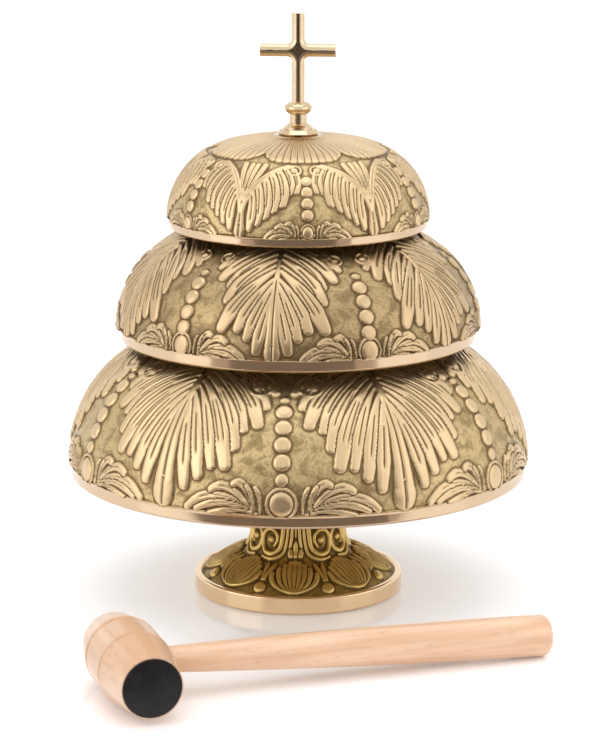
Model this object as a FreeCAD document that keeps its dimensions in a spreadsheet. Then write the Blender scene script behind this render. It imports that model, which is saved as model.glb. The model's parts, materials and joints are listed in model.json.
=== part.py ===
import FreeCAD, Part
import Sketcher
import os
from math import asin, degrees, sqrt

# A three-tier altar gong, in millimetres: three cast bowls hung crown up on one stem above a cast foot, with a
# screw-off cross on top, and the wooden mallet that strikes it lying in front. +Z is up, -Y is the front, and the
# origin is the middle of the felt that the foot stands on.

SIZES = {
    # foot
    "foot_radius": 56.5,
    "foot_band": 9.5,
    "foot_edge": 0.8,
    "felt_pad": 1.0,
    "foot_lift": 0.4,
    "pad_radius": 51.5,
    "plate_radius": 48.0,
    "plate_thickness": 2.5,
    "dome_radius": 52.0,
    "dome_height": 10.5,
    "dome_curve": 45.0,
    "waist_radius": 26.5,
    "waist_height": 31.0,
    "waist_curve": 12.0,
    "column_radius": 21.5,
    "column_height": 66.0,
    "column_top": 15.0,
    "column_step": 4.0,
    "foot_wall": 4.5,
    "web_height": 27.0,
    "web_radius": 17.0,
    # stem
    "rod_radius": 3.0,
    "rod_clearance": 0.25,
    "rod_below_web": 9.0,
    "thread_grip": 9.0,
    "thread_clearance": 0.05,
    "nut_width": 10.0,
    "nut_height": 5.0,
    "washer_radius": 8.0,
    "washer_thickness": 1.6,
    "stem_radius": 9.0,
    "stem_length": 78.6,
    "spacer_radius": 7.0,
    "spacer_middle_length": 47.4,
    "spacer_upper_length": 27.2,
    # bush, felts and cup under and over each crown
    "bush_radius": 5.0,
    "bush_clearance": 0.05,
    "cup_radius": 12.0,
    "cup_foot_radius": 8.5,
    "cup_thickness": 2.0,
    "felt_radius": 11.0,
    "felt_thickness": 2.0,
    "felt_gap": 0.05,
    "cap_felt_radius": 8.0,
    "cap_felt_thickness": 1.2,
    # bowls
    "large_radius": 125.0,
    "large_rim_radius": 123.6,
    "large_band": 6.0,
    "large_height": 84.0,
    "large_shoulder": 70.0,
    "large_wall": 3.5,
    "large_seat": 13.0,
    "middle_radius": 98.4,
    "middle_rim_radius": 95.8,
    "middle_band": 6.0,
    "middle_height": 66.6,
    "middle_shoulder": 51.0,
    "middle_wall": 3.0,
    "middle_seat": 12.5,
    "small_radius": 70.5,
    "small_rim_radius": 69.0,
    "small_band": 4.4,
    "small_height": 44.8,
    "small_shoulder": 41.8,
    "small_wall": 2.8,
    "small_seat": 12.0,
    "rim_edge": 0.8,
    # finial
    "flange_radius": 11.2,
    "flange_height": 3.0,
    "flange_edge": 1.0,
    "step_radius": 7.5,
    "step_height": 2.2,
    "neck_radius": 4.6,
    "neck_height": 5.6,
    "neck_fillet": 1.2,
    "bead_radius": 7.5,
    "bead_height": 6.4,
    "bead_curve": 4.8,
    "bead_top_radius": 4.2,
    "finial_gap": 0.1,
    "spigot_radius": 2.2,
    "spigot_length": 4.0,
    "spigot_clearance": 0.05,
    "cross_bar": 6.8,
    "cross_height": 46.8,
    "cross_arms": 40.0,
    "cross_arm_level": 27.2,
    "cross_corner": 2.6,
    "cross_turn": 5.6,
    # mallet
    "mallet_x": -81.7,
    "mallet_y": -188.1,
    "mallet_turn": 18.0,
    "head_radius": 19.0,
    "head_face": 15.2,
    "head_front": 41.5,
    "head_back": 33.0,
    "head_band_front": 13.0,
    "head_band_back": 11.6,
    "head_groove": 1.7,
    "socket_depth": 14.0,
    "handle_reach": 219.2,
    "handle_tip": 10.6,
    "handle_edge": 4.0,
    "handle_neck": 6.5,
    "handle_shoulder": 0.4,
    "tenon_radius": 6.0,
    "striker_radius": 14.6,
    "striker_thickness": 4.0,
    "striker_proud": 0.6,
    "striker_edge": 0.4,
}


class Size:
    """A length: its value now, and the sheet expression that keeps it up to date."""

    def __init__(self, value, text):
        self.value = float(value)
        self.text = text

    def __add__(self, other):
        other = as_size(other)
        return Size(self.value + other.value, f"({self.text} + {other.text})")

    def __sub__(self, other):
        other = as_size(other)
        return Size(self.value - other.value, f"({self.text} - {other.text})")

    def __mul__(self, other):
        other = as_size(other)
        return Size(self.value * other.value, f"({self.text} * {other.text})")

    def __truediv__(self, other):
        other = as_size(other)
        return Size(self.value / other.value, f"({self.text} / {other.text})")


def as_size(number):
    return number if isinstance(number, Size) else Size(number, f"({number})")


def root(size):
    return Size(sqrt(size.value), f"sqrt({size.text})")


doc = FreeCAD.newDocument("altar_gong")
sheet = doc.addObject("Spreadsheet::Sheet", "sizes")
for line, (alias, value) in enumerate(SIZES.items(), start=1):
    sheet.set(f"A{line}", alias)
    sheet.set(f"B{line}", str(value))
    sheet.setAlias(f"B{line}", alias)
doc.recompute()

D = {alias: Size(value, f"sizes.{alias}") for alias, value in SIZES.items()}
ZERO = as_size(0)
subparts = []


# ---------------------------------------------------------------- sketches and solids


def new_body(name):
    body = doc.addObject("PartDesign::Body", name)
    body.Label = name
    subparts.append(body)
    return body


def plane_sketch(body, name, role):
    plane = next(item for item in body.Origin.OriginFeatures if item.Role == role)
    sketch = body.newObject("Sketcher::SketchObject", name)
    sketch.AttachmentSupport = [(plane, "")]
    sketch.MapMode = "FlatFace"
    return sketch


def bind(sketch, kind, where, size):
    """Add a dimension that follows the sheet."""
    index = sketch.addConstraint(Sketcher.Constraint(kind, *where, size.value))
    sketch.setExpression(f"Constraints[{index}]", size.text)


def pin_coordinate(sketch, kind, axis, where, size):
    """Fix one coordinate of a point, measured from the origin."""
    if abs(size.value) < 1e-9:
        sketch.addConstraint(Sketcher.Constraint("PointOnObject", *where, axis))
    elif size.value > 0:
        bind(sketch, kind, (-1, 1, *where), size)
    else:
        bind(sketch, kind, (*where, -1, 1), ZERO - size)


def draw(sketch, corners):
    """Closed outline through corners (x, y) or (x, y, radius, side): the last two bend the edge to the next corner
    into an arc whose centre lies on the left (1) or the right (-1) of the way along it."""
    edges = []
    for here, after in zip(corners, corners[1:] + corners[:1]):
        start = FreeCAD.Vector(here[0].value, here[1].value, 0)
        end = FreeCAD.Vector(after[0].value, after[1].value, 0)
        if len(here) == 2:
            edges.append((sketch.addGeometry(Part.LineSegment(start, end), False), 1, 2))
            continue
        radius, side = here[2], here[3]
        chord = end - start
        rise = sqrt(radius.value**2 - chord.Length**2 / 4)
        normal = FreeCAD.Vector(-chord.y, chord.x, 0) / chord.Length
        middle = (start + end) / 2 + normal * rise * side
        circle = Part.Circle(middle, FreeCAD.Vector(0, 0, 1), radius.value)
        first, last = (start, end) if side > 0 else (end, start)
        arc = Part.ArcOfCircle(circle, circle.parameter(first), circle.parameter(last))
        index = sketch.addGeometry(arc, False)
        edges.append((index, 1, 2) if side > 0 else (index, 2, 1))
        bind(sketch, "Radius", (index,), radius)
    for edge, following in zip(edges, edges[1:] + edges[:1]):
        sketch.addConstraint(Sketcher.Constraint("Coincident", edge[0], edge[2], following[0], following[1]))
    for edge, corner in zip(edges, corners):
        pin_coordinate(sketch, "DistanceX", -2, (edge[0], edge[1]), corner[0])
        pin_coordinate(sketch, "DistanceY", -1, (edge[0], edge[1]), corner[1])


def place(body, z=ZERO):
    if z is not ZERO:
        body.setExpression("Placement.Base.z", z.text)


def turned(name, corners, z=ZERO):
    """A turned piece: the outline (radius, height) swept once about the vertical."""
    body = new_body(name)
    sketch = plane_sketch(body, name + "_outline", "XZ_Plane")
    draw(sketch, corners)
    sketch.Visibility = False
    solid = body.newObject("PartDesign::Revolution", name + "_turned")
    solid.Profile = sketch
    solid.ReferenceAxis = (sketch, ["V_Axis"])
    solid.Angle = 360
    place(body, z)
    return body


def ring(name, inner, outer, height, z):
    """A plain ring or disc standing at z."""
    corners = [(inner, ZERO), (outer, ZERO), (outer, height), (inner, height)]
    return turned(name, corners, z)


# ---------------------------------------------------------------- foot


rod_hole = D["rod_radius"] + D["rod_clearance"]
foot_top = D["column_height"] + D["column_step"]


def make_foot():
    """Cast foot: a plain ring, a low dome for the shells, and a trumpet waist that carries the stem."""
    edge = D["foot_edge"]
    lift = D["felt_pad"] - D["foot_lift"]
    dome_top = D["foot_band"] + D["dome_height"]
    shoulder = D["waist_radius"] + D["foot_wall"] * 2
    hollow_dome = D["dome_radius"] - D["foot_wall"] * 2
    return turned("pedestal_foot", [
        (D["pad_radius"], ZERO),
        (D["foot_radius"] - edge, ZERO),
        (D["foot_radius"], edge),
        (D["foot_radius"], D["foot_band"] - edge),
        (D["foot_radius"] - edge, D["foot_band"]),
        (D["dome_radius"], D["foot_band"], D["dome_curve"], 1),
        (shoulder, dome_top, D["waist_curve"], -1),
        (D["waist_radius"], D["waist_height"]),
        (D["column_radius"], D["column_height"]),
        (D["column_top"], foot_top),
        (rod_hole, foot_top),
        (rod_hole, D["web_height"]),
        (D["web_radius"], D["web_height"]),
        (shoulder - D["foot_wall"], dome_top - D["foot_wall"]),
        (hollow_dome, D["foot_band"]),
        (D["plate_radius"], lift + D["plate_thickness"]),
        (D["plate_radius"], lift),
        (D["pad_radius"], lift),
    ], D["foot_lift"])


make_foot()
ring("foot_felt", ZERO, D["pad_radius"], D["felt_pad"], ZERO)
ring("base_plate", ZERO, D["plate_radius"], D["plate_thickness"], D["felt_pad"])


# ---------------------------------------------------------------- bowls and the stack on the stem


def crown_radius(key):
    """The radius of the crown's arc: it meets the shoulder's arc smoothly and peaks at the bowl's height."""
    inset = D[f"{key}_radius"] - D[f"{key}_shoulder"]
    rise = D[f"{key}_height"]
    shoulder = D[f"{key}_shoulder"]
    return (inset * inset + rise * rise - shoulder * shoulder) / ((rise - shoulder) * 2)


def crown_seat(key, wall):
    """How high the crown's flat seat lies above the bowl's rim, outside (wall 0) or inside."""
    crown = crown_radius(key)
    arc = crown - wall
    level = D[f"{key}_band"] + D[f"{key}_height"] - crown
    return level + root(arc * arc - D[f"{key}_seat"] * D[f"{key}_seat"])


def shoulder_joint(key, wall):
    """Where the shoulder's arc turns into the crown's."""
    crown = crown_radius(key)
    reach = (crown - wall) / (crown - D[f"{key}_shoulder"])
    centre_height = D[f"{key}_band"] + D[f"{key}_height"] - crown
    across = (D[f"{key}_radius"] - D[f"{key}_shoulder"]) * reach
    up = centre_height + (D[f"{key}_band"] - centre_height) * reach
    return across, up


def make_bowl(key, z):
    """One bowl, crown up: a plain rim band, a shoulder arc, a crown arc and a flat seat round the bush hole."""
    wall = D[f"{key}_wall"]
    radius, band = D[f"{key}_radius"], D[f"{key}_band"]
    rim, edge = D[f"{key}_rim_radius"], D["rim_edge"]
    shoulder, crown = D[f"{key}_shoulder"], crown_radius(key)
    hole = D["bush_radius"] + D["bush_clearance"]
    seat = D[f"{key}_seat"]
    seat_out, seat_in = crown_seat(key, ZERO), crown_seat(key, wall)
    joint_out, joint_in = shoulder_joint(key, ZERO), shoulder_joint(key, wall)
    return turned(f"bowl_{key}", [
        (rim - wall + edge, ZERO),
        (rim - edge, ZERO),
        (rim, edge),
        (radius, band, shoulder, 1),
        (*joint_out, crown, 1),
        (seat, seat_out),
        (hole, seat_out),
        (hole, seat_in),
        (seat, seat_in, crown - wall, -1),
        (*joint_in, shoulder - wall, -1),
        (radius - wall, band),
        (rim - wall, edge),
    ], z)


def make_tier(key, z, capped=False):
    """Everything one bowl hangs on, from its cup at z up to the felt over its crown. The bush carries the load of
    the next piece up, so the bowl can still turn between its felts. Returns the height of the bush's top."""
    cup, felt, gap = D["cup_thickness"], D["felt_thickness"], D["felt_gap"]
    top_felt = D["cap_felt_thickness"] if capped else felt
    bush, loose_bush = D["bush_radius"], D["bush_radius"] + D["bush_clearance"]
    crown = crown_seat(key, ZERO) - crown_seat(key, D[f"{key}_wall"])
    turned(f"cup_{key}", [
        (rod_hole, ZERO),
        (D["cup_foot_radius"], ZERO),
        (D["cup_radius"], cup),
        (rod_hole, cup),
    ], z)
    ring(f"felt_under_{key}", loose_bush, D["felt_radius"], felt, z + cup)
    under_crown = z + cup + felt + gap
    make_bowl(key, under_crown - crown_seat(key, D[f"{key}_wall"]))
    over_crown = under_crown + crown + gap
    top_radius = D["cap_felt_radius"] if capped else D["felt_radius"]
    ring(f"felt_over_{key}", loose_bush, top_radius, top_felt, over_crown)
    ring(f"bush_{key}", rod_hole, bush, felt + gap * 2 + crown + top_felt, z + cup)
    return over_crown + top_felt


stem_foot = D["foot_lift"] + foot_top
ring("lower_stem", rod_hole, D["stem_radius"], D["stem_length"], stem_foot)
large_top = make_tier("large", stem_foot + D["stem_length"])
ring("spacer_middle", rod_hole, D["spacer_radius"], D["spacer_middle_length"], large_top)
middle_top = make_tier("middle", large_top + D["spacer_middle_length"])
ring("spacer_upper", rod_hole, D["spacer_radius"], D["spacer_upper_length"], middle_top)
small_top = make_tier("small", middle_top + D["spacer_upper_length"], capped=True)


# ---------------------------------------------------------------- rod, washer and nut


web_level = D["foot_lift"] + D["web_height"]
rod_foot = web_level - D["rod_below_web"]
rod_tip = small_top + D["thread_grip"]


def make_rod():
    rod = doc.addObject("Part::Cylinder", "tie_rod")
    rod.Label = "tie_rod"
    rod.setExpression("Radius", D["rod_radius"].text)
    rod.setExpression("Height", (rod_tip - rod_foot).text)
    rod.setExpression("Placement.Base.z", rod_foot.text)
    subparts.append(rod)


def make_nut():
    """Hexagon nut under the web, its hole left as the rod's own clearance."""
    level = web_level - D["washer_thickness"] - D["nut_height"]
    blank = doc.addObject("Part::Prism", "nut_blank")
    blank.Polygon = 6
    blank.setExpression("Circumradius", (D["nut_width"] / as_size(sqrt(3))).text)
    blank.setExpression("Height", D["nut_height"].text)
    hole = doc.addObject("Part::Cylinder", "nut_hole")
    hole.setExpression("Radius", rod_hole.text)
    hole.setExpression("Height", D["nut_height"].text)
    nut = doc.addObject("Part::Cut", "rod_nut")
    nut.Label = "rod_nut"
    nut.Base = blank
    nut.Tool = hole
    nut.setExpression("Placement.Base.z", level.text)
    subparts.append(nut)


make_rod()
make_nut()
ring("rod_washer", rod_hole, D["washer_radius"], D["washer_thickness"], web_level - D["washer_thickness"])


# ---------------------------------------------------------------- finial


collar_foot = small_top - D["cap_felt_thickness"] - D["felt_gap"] + D["finial_gap"]
collar_height = D["flange_height"] + D["step_height"] + D["neck_height"] + D["bead_height"]


def make_collar():
    """Turned collar: a stepped flange over the crown, a neck and a bead, bored below for the rod's thread and above
    for the cross's spigot."""
    flange, step = D["flange_height"], D["step_height"]
    neck_foot = flange + step
    bead_foot = neck_foot + D["neck_height"]
    recess = D["cap_felt_radius"] + D["finial_gap"]
    recess_top = small_top - collar_foot
    thread = D["rod_radius"] + D["thread_clearance"]
    socket = D["spigot_radius"] + D["spigot_clearance"]
    socket_foot = collar_height - D["spigot_length"]
    half_step = D["step_radius"] + (D["flange_radius"] - D["step_radius"]) / 2
    return turned("finial_collar", [
        (recess, ZERO),
        (D["flange_radius"] - D["flange_edge"], ZERO),
        (D["flange_radius"], D["flange_edge"]),
        (half_step, flange),
        (D["step_radius"], flange),
        (D["step_radius"], flange + step / 2),
        (D["neck_radius"] + D["neck_fillet"], neck_foot),
        (D["neck_radius"], neck_foot + D["neck_fillet"]),
        (D["neck_radius"], bead_foot, D["bead_curve"], 1),
        (D["bead_radius"], bead_foot + D["bead_height"] / 2, D["bead_curve"], 1),
        (D["bead_top_radius"], collar_height),
        (socket, collar_height),
        (socket, socket_foot),
        (thread, socket_foot),
        (thread, recess_top),
        (recess, recess_top),
    ], collar_foot)


# A full half-round leaves the fillet no face to end on, so the cross's long edges are rounded to just under it.
ROUND_SHARE = 0.97


def edges_at(shape, chosen):
    return [f"Edge{number}" for number, edge in enumerate(shape.Edges, start=1) if chosen(edge)]


def make_cross():
    """Latin cross of one round bar: a flat cross rounded on every long edge, with a spigot below it."""
    half, arm = D["cross_bar"] / 2, D["cross_arms"] / 2
    top, level = D["cross_height"], D["cross_arm_level"]
    left, low, high = ZERO - half, level - half, level + half
    body = new_body("cross")
    outline = plane_sketch(body, "cross_outline", "XZ_Plane")
    draw(outline, [
        (left, ZERO), (half, ZERO), (half, low), (arm, low), (arm, high), (half, high),
        (half, top), (left, top), (left, high), (ZERO - arm, high), (ZERO - arm, low), (left, low),
    ])
    outline.Visibility = False
    slab = body.newObject("PartDesign::Pad", "cross_slab")
    slab.Profile = outline
    slab.Midplane = True
    slab.setExpression("Length", D["cross_bar"].text)
    doc.recompute()
    inner = [half.value, low.value, high.value]

    def at_crossing(edge):
        middle = edge.CenterOfMass
        along_y = abs(edge.tangentAt(edge.FirstParameter).y) > 0.9
        on_corner = abs(abs(middle.x) - inner[0]) < 1e-6
        return along_y and on_corner and min(abs(middle.z - inner[1]), abs(middle.z - inner[2])) < 1e-6

    corners = body.newObject("PartDesign::Fillet", "cross_corners")
    corners.Base = (slab, edges_at(slab.Shape, at_crossing))
    corners.setExpression("Radius", D["cross_corner"].text)
    doc.recompute()

    def along_bar(edge):
        middle = edge.CenterOfMass
        at_end = min(abs(middle.z), abs(middle.z - top.value), abs(abs(middle.x) - arm.value)) < 1e-6
        return abs(abs(middle.y) - half.value) < 1e-6 and not at_end

    rounded = body.newObject("PartDesign::Fillet", "cross_rounded")
    rounded.Base = (corners, edges_at(corners.Shape, along_bar))
    rounded.setExpression("Radius", (half * ROUND_SHARE).text)
    spigot_sketch = plane_sketch(body, "cross_spigot_outline", "XY_Plane")
    centre = FreeCAD.Vector(0, 0, 0)
    circle = Part.Circle(centre, FreeCAD.Vector(0, 0, 1), D["spigot_radius"].value)
    index = spigot_sketch.addGeometry(circle, False)
    spigot_sketch.addConstraint(Sketcher.Constraint("Coincident", index, 3, -1, 1))
    bind(spigot_sketch, "Radius", (index,), D["spigot_radius"])
    spigot_sketch.Visibility = False
    spigot = body.newObject("PartDesign::Pad", "cross_spigot")
    spigot.Profile = spigot_sketch
    spigot.Reversed = True
    spigot.setExpression("Length", (D["spigot_length"] - D["finial_gap"]).text)
    body.Placement.Rotation = FreeCAD.Rotation(FreeCAD.Vector(0, 0, 1), -SIZES["cross_turn"])
    body.setExpression("Placement.Base.z", (collar_foot + collar_height).text)


make_collar()
make_cross()


# ---------------------------------------------------------------- mallet


heading = FreeCAD.Rotation(FreeCAD.Vector(0, 0, 1), SIZES["mallet_turn"])
# a piece turned about the vertical is laid with its top to the front for the head, or to the right for the handle
head_rotation = heading * FreeCAD.Rotation(FreeCAD.Vector(1, 0, 0), 90)
droop = degrees(asin(
    (D["head_radius"] - D["handle_tip"]).value / (D["handle_reach"] - D["handle_edge"]).value))
handle_rotation = heading * FreeCAD.Rotation(FreeCAD.Vector(0, 1, 0), 90 + droop)


def lay(piece, rotation):
    """Stand a mallet piece at the middle of the head, turned as it lies."""
    piece.Placement.Rotation = rotation
    piece.setExpression("Placement.Base.x", D["mallet_x"].text)
    piece.setExpression("Placement.Base.y", D["mallet_y"].text)
    piece.setExpression("Placement.Base.z", D["head_radius"].text)


striker_seat = D["head_front"] - D["striker_thickness"] + D["striker_proud"]
tenon_start = D["head_radius"] - D["socket_depth"]


def make_head():
    """Turned head: a band between two grooves, a cone to each face, and a socket for the handle's tenon."""
    front, back = D["head_front"], ZERO - D["head_back"]
    band_front, band_back, groove = D["head_band_front"], ZERO - D["head_band_back"], D["head_groove"]
    outer, waist = D["head_radius"], D["head_radius"] - groove
    blank = turned("mallet_head_blank", [
        (ZERO, back),
        (D["head_face"], back),
        (outer, band_back - groove),
        (waist, band_back),
        (outer, band_back + groove),
        (outer, band_front - groove),
        (waist, band_front),
        (outer, band_front + groove),
        (D["head_face"], front),
        (D["striker_radius"], front),
        (D["striker_radius"], striker_seat),
        (ZERO, striker_seat),
    ])
    subparts.remove(blank)
    lay(blank, head_rotation)
    socket = doc.addObject("Part::Cylinder", "mallet_socket")
    socket.setExpression("Radius", D["tenon_radius"].text)
    socket.setExpression("Height", (D["head_radius"] * 2).text)
    socket.Placement.Rotation = handle_rotation
    offset = handle_rotation.multVec(FreeCAD.Vector(0, 0, tenon_start.value))
    for axis, base, shift in zip("xyz", ("mallet_x", "mallet_y", "head_radius"), offset):
        socket.setExpression(f"Placement.Base.{axis}", (D[base] + shift).text)
    head = doc.addObject("Part::Cut", "mallet_head")
    head.Label = "mallet_head"
    head.Base = blank
    head.Tool = socket
    subparts.append(head)


def make_handle():
    """Turned handle: a tenon, a slender neck that swells in one long curve to the grip, and a rounded end."""
    reach, tip, edge, neck = D["handle_reach"], D["handle_tip"], D["handle_edge"], D["handle_neck"]
    shoulder = D["head_radius"] + D["handle_shoulder"]
    run, swell = reach - edge - shoulder, tip - neck
    curve = (run * run + swell * swell) / (swell * 2)
    lay(turned("mallet_handle", [
        (ZERO, tenon_start),
        (D["tenon_radius"], tenon_start),
        (D["tenon_radius"], shoulder),
        (neck, shoulder, curve, 1),
        (tip, reach - edge, edge, 1),
        (tip - edge, reach),
        (ZERO, reach),
    ]), handle_rotation)


def make_striker():
    """Rubber disc let into the head's front face."""
    edge = D["striker_edge"]
    radius, thickness = D["striker_radius"], D["striker_thickness"]
    lay(turned("mallet_striker", [
        (ZERO, striker_seat),
        (radius, striker_seat),
        (radius, striker_seat + thickness - edge),
        (radius - edge, striker_seat + thickness),
        (ZERO, striker_seat + thickness),
    ]), head_rotation)


make_head()
make_handle()
make_striker()


# ---------------------------------------------------------------- check and write


doc.recompute()
for item in doc.Objects:
    broken = [word for word in item.State if word in ("Invalid", "Error")]
    if broken:
        raise RuntimeError(f"{item.Label}: {broken}")
for piece in subparts:
    shape = piece.Shape
    if shape.isNull() or not shape.isValid() or len(shape.Solids) != 1:
        raise RuntimeError(f"{piece.Label}: no single valid solid")

os.makedirs("parts", exist_ok=True)
for piece in subparts:
    piece.Shape.exportStep(f"parts/{piece.Label}.step")
    box = piece.Shape.BoundBox
    print(f"{piece.Label:16s} {piece.Shape.Volume:10.1f} mm3  z {box.ZMin:7.2f} to {box.ZMax:7.2f}")
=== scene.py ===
import json
import math

import bpy
import numpy as np
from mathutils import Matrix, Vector


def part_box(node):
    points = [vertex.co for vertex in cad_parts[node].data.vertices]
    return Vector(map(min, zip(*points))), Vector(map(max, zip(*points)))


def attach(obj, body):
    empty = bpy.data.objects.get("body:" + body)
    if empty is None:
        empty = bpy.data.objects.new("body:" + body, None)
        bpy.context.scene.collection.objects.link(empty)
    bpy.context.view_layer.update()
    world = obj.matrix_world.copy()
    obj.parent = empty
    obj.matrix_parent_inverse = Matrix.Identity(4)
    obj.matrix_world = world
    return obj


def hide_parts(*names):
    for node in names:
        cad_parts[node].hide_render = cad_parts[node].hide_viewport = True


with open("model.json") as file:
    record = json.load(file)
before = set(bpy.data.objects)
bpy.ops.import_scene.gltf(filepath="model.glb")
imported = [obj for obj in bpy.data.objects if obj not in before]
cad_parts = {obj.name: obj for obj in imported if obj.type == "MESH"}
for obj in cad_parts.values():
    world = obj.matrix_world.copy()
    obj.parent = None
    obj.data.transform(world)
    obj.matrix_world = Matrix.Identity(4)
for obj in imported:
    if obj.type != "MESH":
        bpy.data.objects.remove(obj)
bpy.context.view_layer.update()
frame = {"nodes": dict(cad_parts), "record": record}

MM = 0.001

# Millimetres, unless it says otherwise.
EDGE_LINE = 0.32        # bare ground left round a lobe that is laid over others
GROOVE_WIDTH = 0.38     # a groove's width, to which GROOVE_SHARE of the lobe's half width is added
GROOVE_SHARE = 0.06
CAVITY_REACH = 2.4      # how far round a point its surroundings count, to tell how sunk it is
UNEVEN_SHARE = 0.05     # the casting's slow waves, as a share of the relief's depth
WAVES = 14              # how many of them are summed
BAND_STEP = 0.4         # rows on the plain band at a rim
BAND_MARGIN = 1.2       # how far those close rows run on past the band
HIDDEN_STEP = 1.6       # rows near a bowl's seat
INNER_ROWS = 34         # how many rows the plain inside of a bowl has


# ---------------------------------------------------------------- relief carved on a turned surface

def pillow(reach, flat=2.6):
    """Rounded cross-section: 1 in the middle, 0 at reach 1. A larger flat gives a flatter top."""
    return np.sqrt(np.clip(1.0 - np.abs(reach) ** flat, 0.0, 1.0))


def fade(x, low, high):
    """0 below low, 1 above high, smooth between."""
    t = np.clip((x - low) / (high - low), 0.0, 1.0)
    return t * t * (3.0 - 2.0 * t)


def bend(start, knee, end, steps=14):
    """Points of a curve that leaves start towards knee and arrives at end from it."""
    t = np.linspace(0.0, 1.0, steps + 1)[:, None]
    return (1 - t) ** 2 * np.array(start) + 2 * t * (1 - t) * np.array(knee) + t ** 2 * np.array(end)


class Relief:
    """Heights in mm over one half of a repeat of the ornament; the other half is its mirror image.
    Places are (angle in degrees from the repeat's middle line, v in mm up the outline)."""

    def __init__(self, levels, radii, half_angle, columns):
        self.v = levels[:, None]
        self.radius = radii[:, None]
        self.half_angle = half_angle
        self.angle = np.linspace(0.0, half_angle, columns)[None, :]
        self.height = np.zeros((len(levels), columns))

    def offset(self, place):
        """Millimetres from a place to every point, round the surface and up it."""
        return np.radians(self.angle - place[0]) * self.radius, self.v - place[1]

    def raise_to(self, height):
        self.height = np.maximum(self.height, height)

    def dome(self, place, wide, tall, height, flat=2.6):
        across, up = self.offset(place)
        self.raise_to(height * pillow(np.hypot(across / wide, up / tall), flat))

    def ring(self, place, radius, width, height, squash=1.0):
        across, up = self.offset(place)
        self.raise_to(height * pillow((np.hypot(across, up / squash) - radius) / width, 2.0))

    def lobe(self, path, widths, height, groove=0.0, groove_span=(0.12, 0.8), leans=(0.0,), flat=3.6,
             tilt=0.0, over=False):
        """A rounded ribbon along a path. widths are its half widths at start, three quarters and end, leans
        are its grooves' places across it, and tilt sinks one side, as on a leaf that tucks under the next.
        One laid over the relief hides what is below it and leaves bare ground round its edge."""
        nearest = np.full(self.height.shape, np.inf)
        along = np.zeros(self.height.shape)
        side = np.zeros(self.height.shape)
        count = len(path) - 1
        for k in range(count):
            across, up = self.offset(path[k])
            step_across = np.radians(path[k + 1][0] - path[k][0]) * self.radius
            step_up = path[k + 1][1] - path[k][1]
            length = step_across ** 2 + step_up ** 2
            t = np.clip((across * step_across + up * step_up) / length, 0.0, 1.0)
            gap = np.hypot(across - t * step_across, up - t * step_up)
            closer = gap < nearest
            nearest = np.where(closer, gap, nearest)
            along = np.where(closer, (k + t) / count, along)
            turned = np.sign(step_across * up - step_up * across)
            side = np.where(closer, turned, side)
        width = np.interp(along, [0.0, 0.75, 1.0], widths)
        across_share = np.clip(nearest * side / width, -1.0, 1.0)
        shape = height * pillow(nearest / width, flat) * (1.0 - tilt * (0.5 + 0.5 * across_share))
        window = fade(along, groove_span[0], groove_span[0] + 0.1)
        window = window * (1.0 - fade(along, groove_span[1] - 0.1, groove_span[1])) * (shape > 0)
        for lean in leans:
            cut = np.exp(-((nearest * side - lean * width) / (GROOVE_SHARE * width + GROOVE_WIDTH)) ** 2)
            shape = shape - groove * cut * window
        if over:
            self.height = np.where(nearest < width + EDGE_LINE, shape, self.height)
        else:
            self.raise_to(shape)

    def from_edge(self, *places):
        """Places given from the line between two repeats, where the leaves hang."""
        return [(self.half_angle - angle, v) for angle, v in places]


def leaf(relief, lobes, height, top_knee, foot_knee):
    """Half an acanthus leaf. Each lobe is (root angle, root v, tip angle, tip v, half width), with angles
    from the leaf's line. The knees say how far out and up a lobe bends, in shares of its reach, for the
    first lobe and for the last."""
    for number, (root_angle, root_v, tip_angle, tip_v, width) in enumerate(lobes):
        share = number / (len(lobes) - 1)
        out, up = (a + (b - a) * share for a, b in zip(top_knee, foot_knee))
        middle = (root_angle + (tip_angle - root_angle) * out, tip_v + (root_v - tip_v) * up)
        path = relief.from_edge((root_angle, root_v), middle, (tip_angle, tip_v + 0.8 * width))
        leans = (-0.3, 0.3) if width > 4.4 else (0.0,)
        relief.lobe(bend(*path), (0.3 * width, width, 0.7 * width), height, groove=0.5 * height,
                    groove_span=(0.3, 0.86), leans=leans, flat=4.0, tilt=0.22, over=True)


def midrib(relief, top, foot, width, height):
    """The leaf's middle lobe: a long drop with a slit down it."""
    path = relief.from_edge((0.0, top), (0.0, foot + 2.6 * width), (0.0, foot + width))
    relief.lobe(bend(*path), (0.3 * width, 0.9 * width, 0.55 * width), height, groove=0.6 * height,
                groove_span=(0.1, 0.9))
    belly = relief.from_edge((0.0, foot + 1.5 * width))[0]
    relief.dome(belly, width, 1.5 * width, height, 3.2)
    across, up = relief.offset(belly)
    slit = np.exp(-(across / 0.55) ** 2) * (np.abs(up) < 1.1 * width)
    relief.height = relief.height - 0.5 * height * slit


def beads(relief, levels, radius, height):
    for v in levels:
        relief.dome((0.0, v), radius, radius, height, 4.5)


def cabochon(relief, v, wide, tall, height):
    """Oval boss at the rim in a thin frame."""
    relief.ring((0.0, v), 1.2 * wide, 0.13 * wide, 0.8 * height, squash=tall / wide)
    relief.dome((0.0, v), wide, tall, height, 4.5)


# The spray beside each cabochon: curved ribs in shares of its span round the rim and of its height, with the
# share of the height that is each rib's half width.
SPRAY = [
    ((0.26, 0.10), (0.72, 0.96), (0.98, 0.08), 0.150),
    ((0.30, 0.18), (0.56, 1.08), (0.72, 0.68), 0.150),
    ((0.28, 0.20), (0.38, 1.12), (0.49, 0.88), 0.135),
    ((0.26, 0.06), (0.60, 0.56), (0.88, 0.06), 0.120),
    ((0.24, 0.02), (0.44, 0.24), (0.74, -0.03), 0.095),
    ((0.29, 0.04), (0.27, 0.50), (0.355, 0.84), 0.080),
    ((0.21, 0.04), (0.20, 0.50), (0.265, 0.80), 0.065),
]


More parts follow.
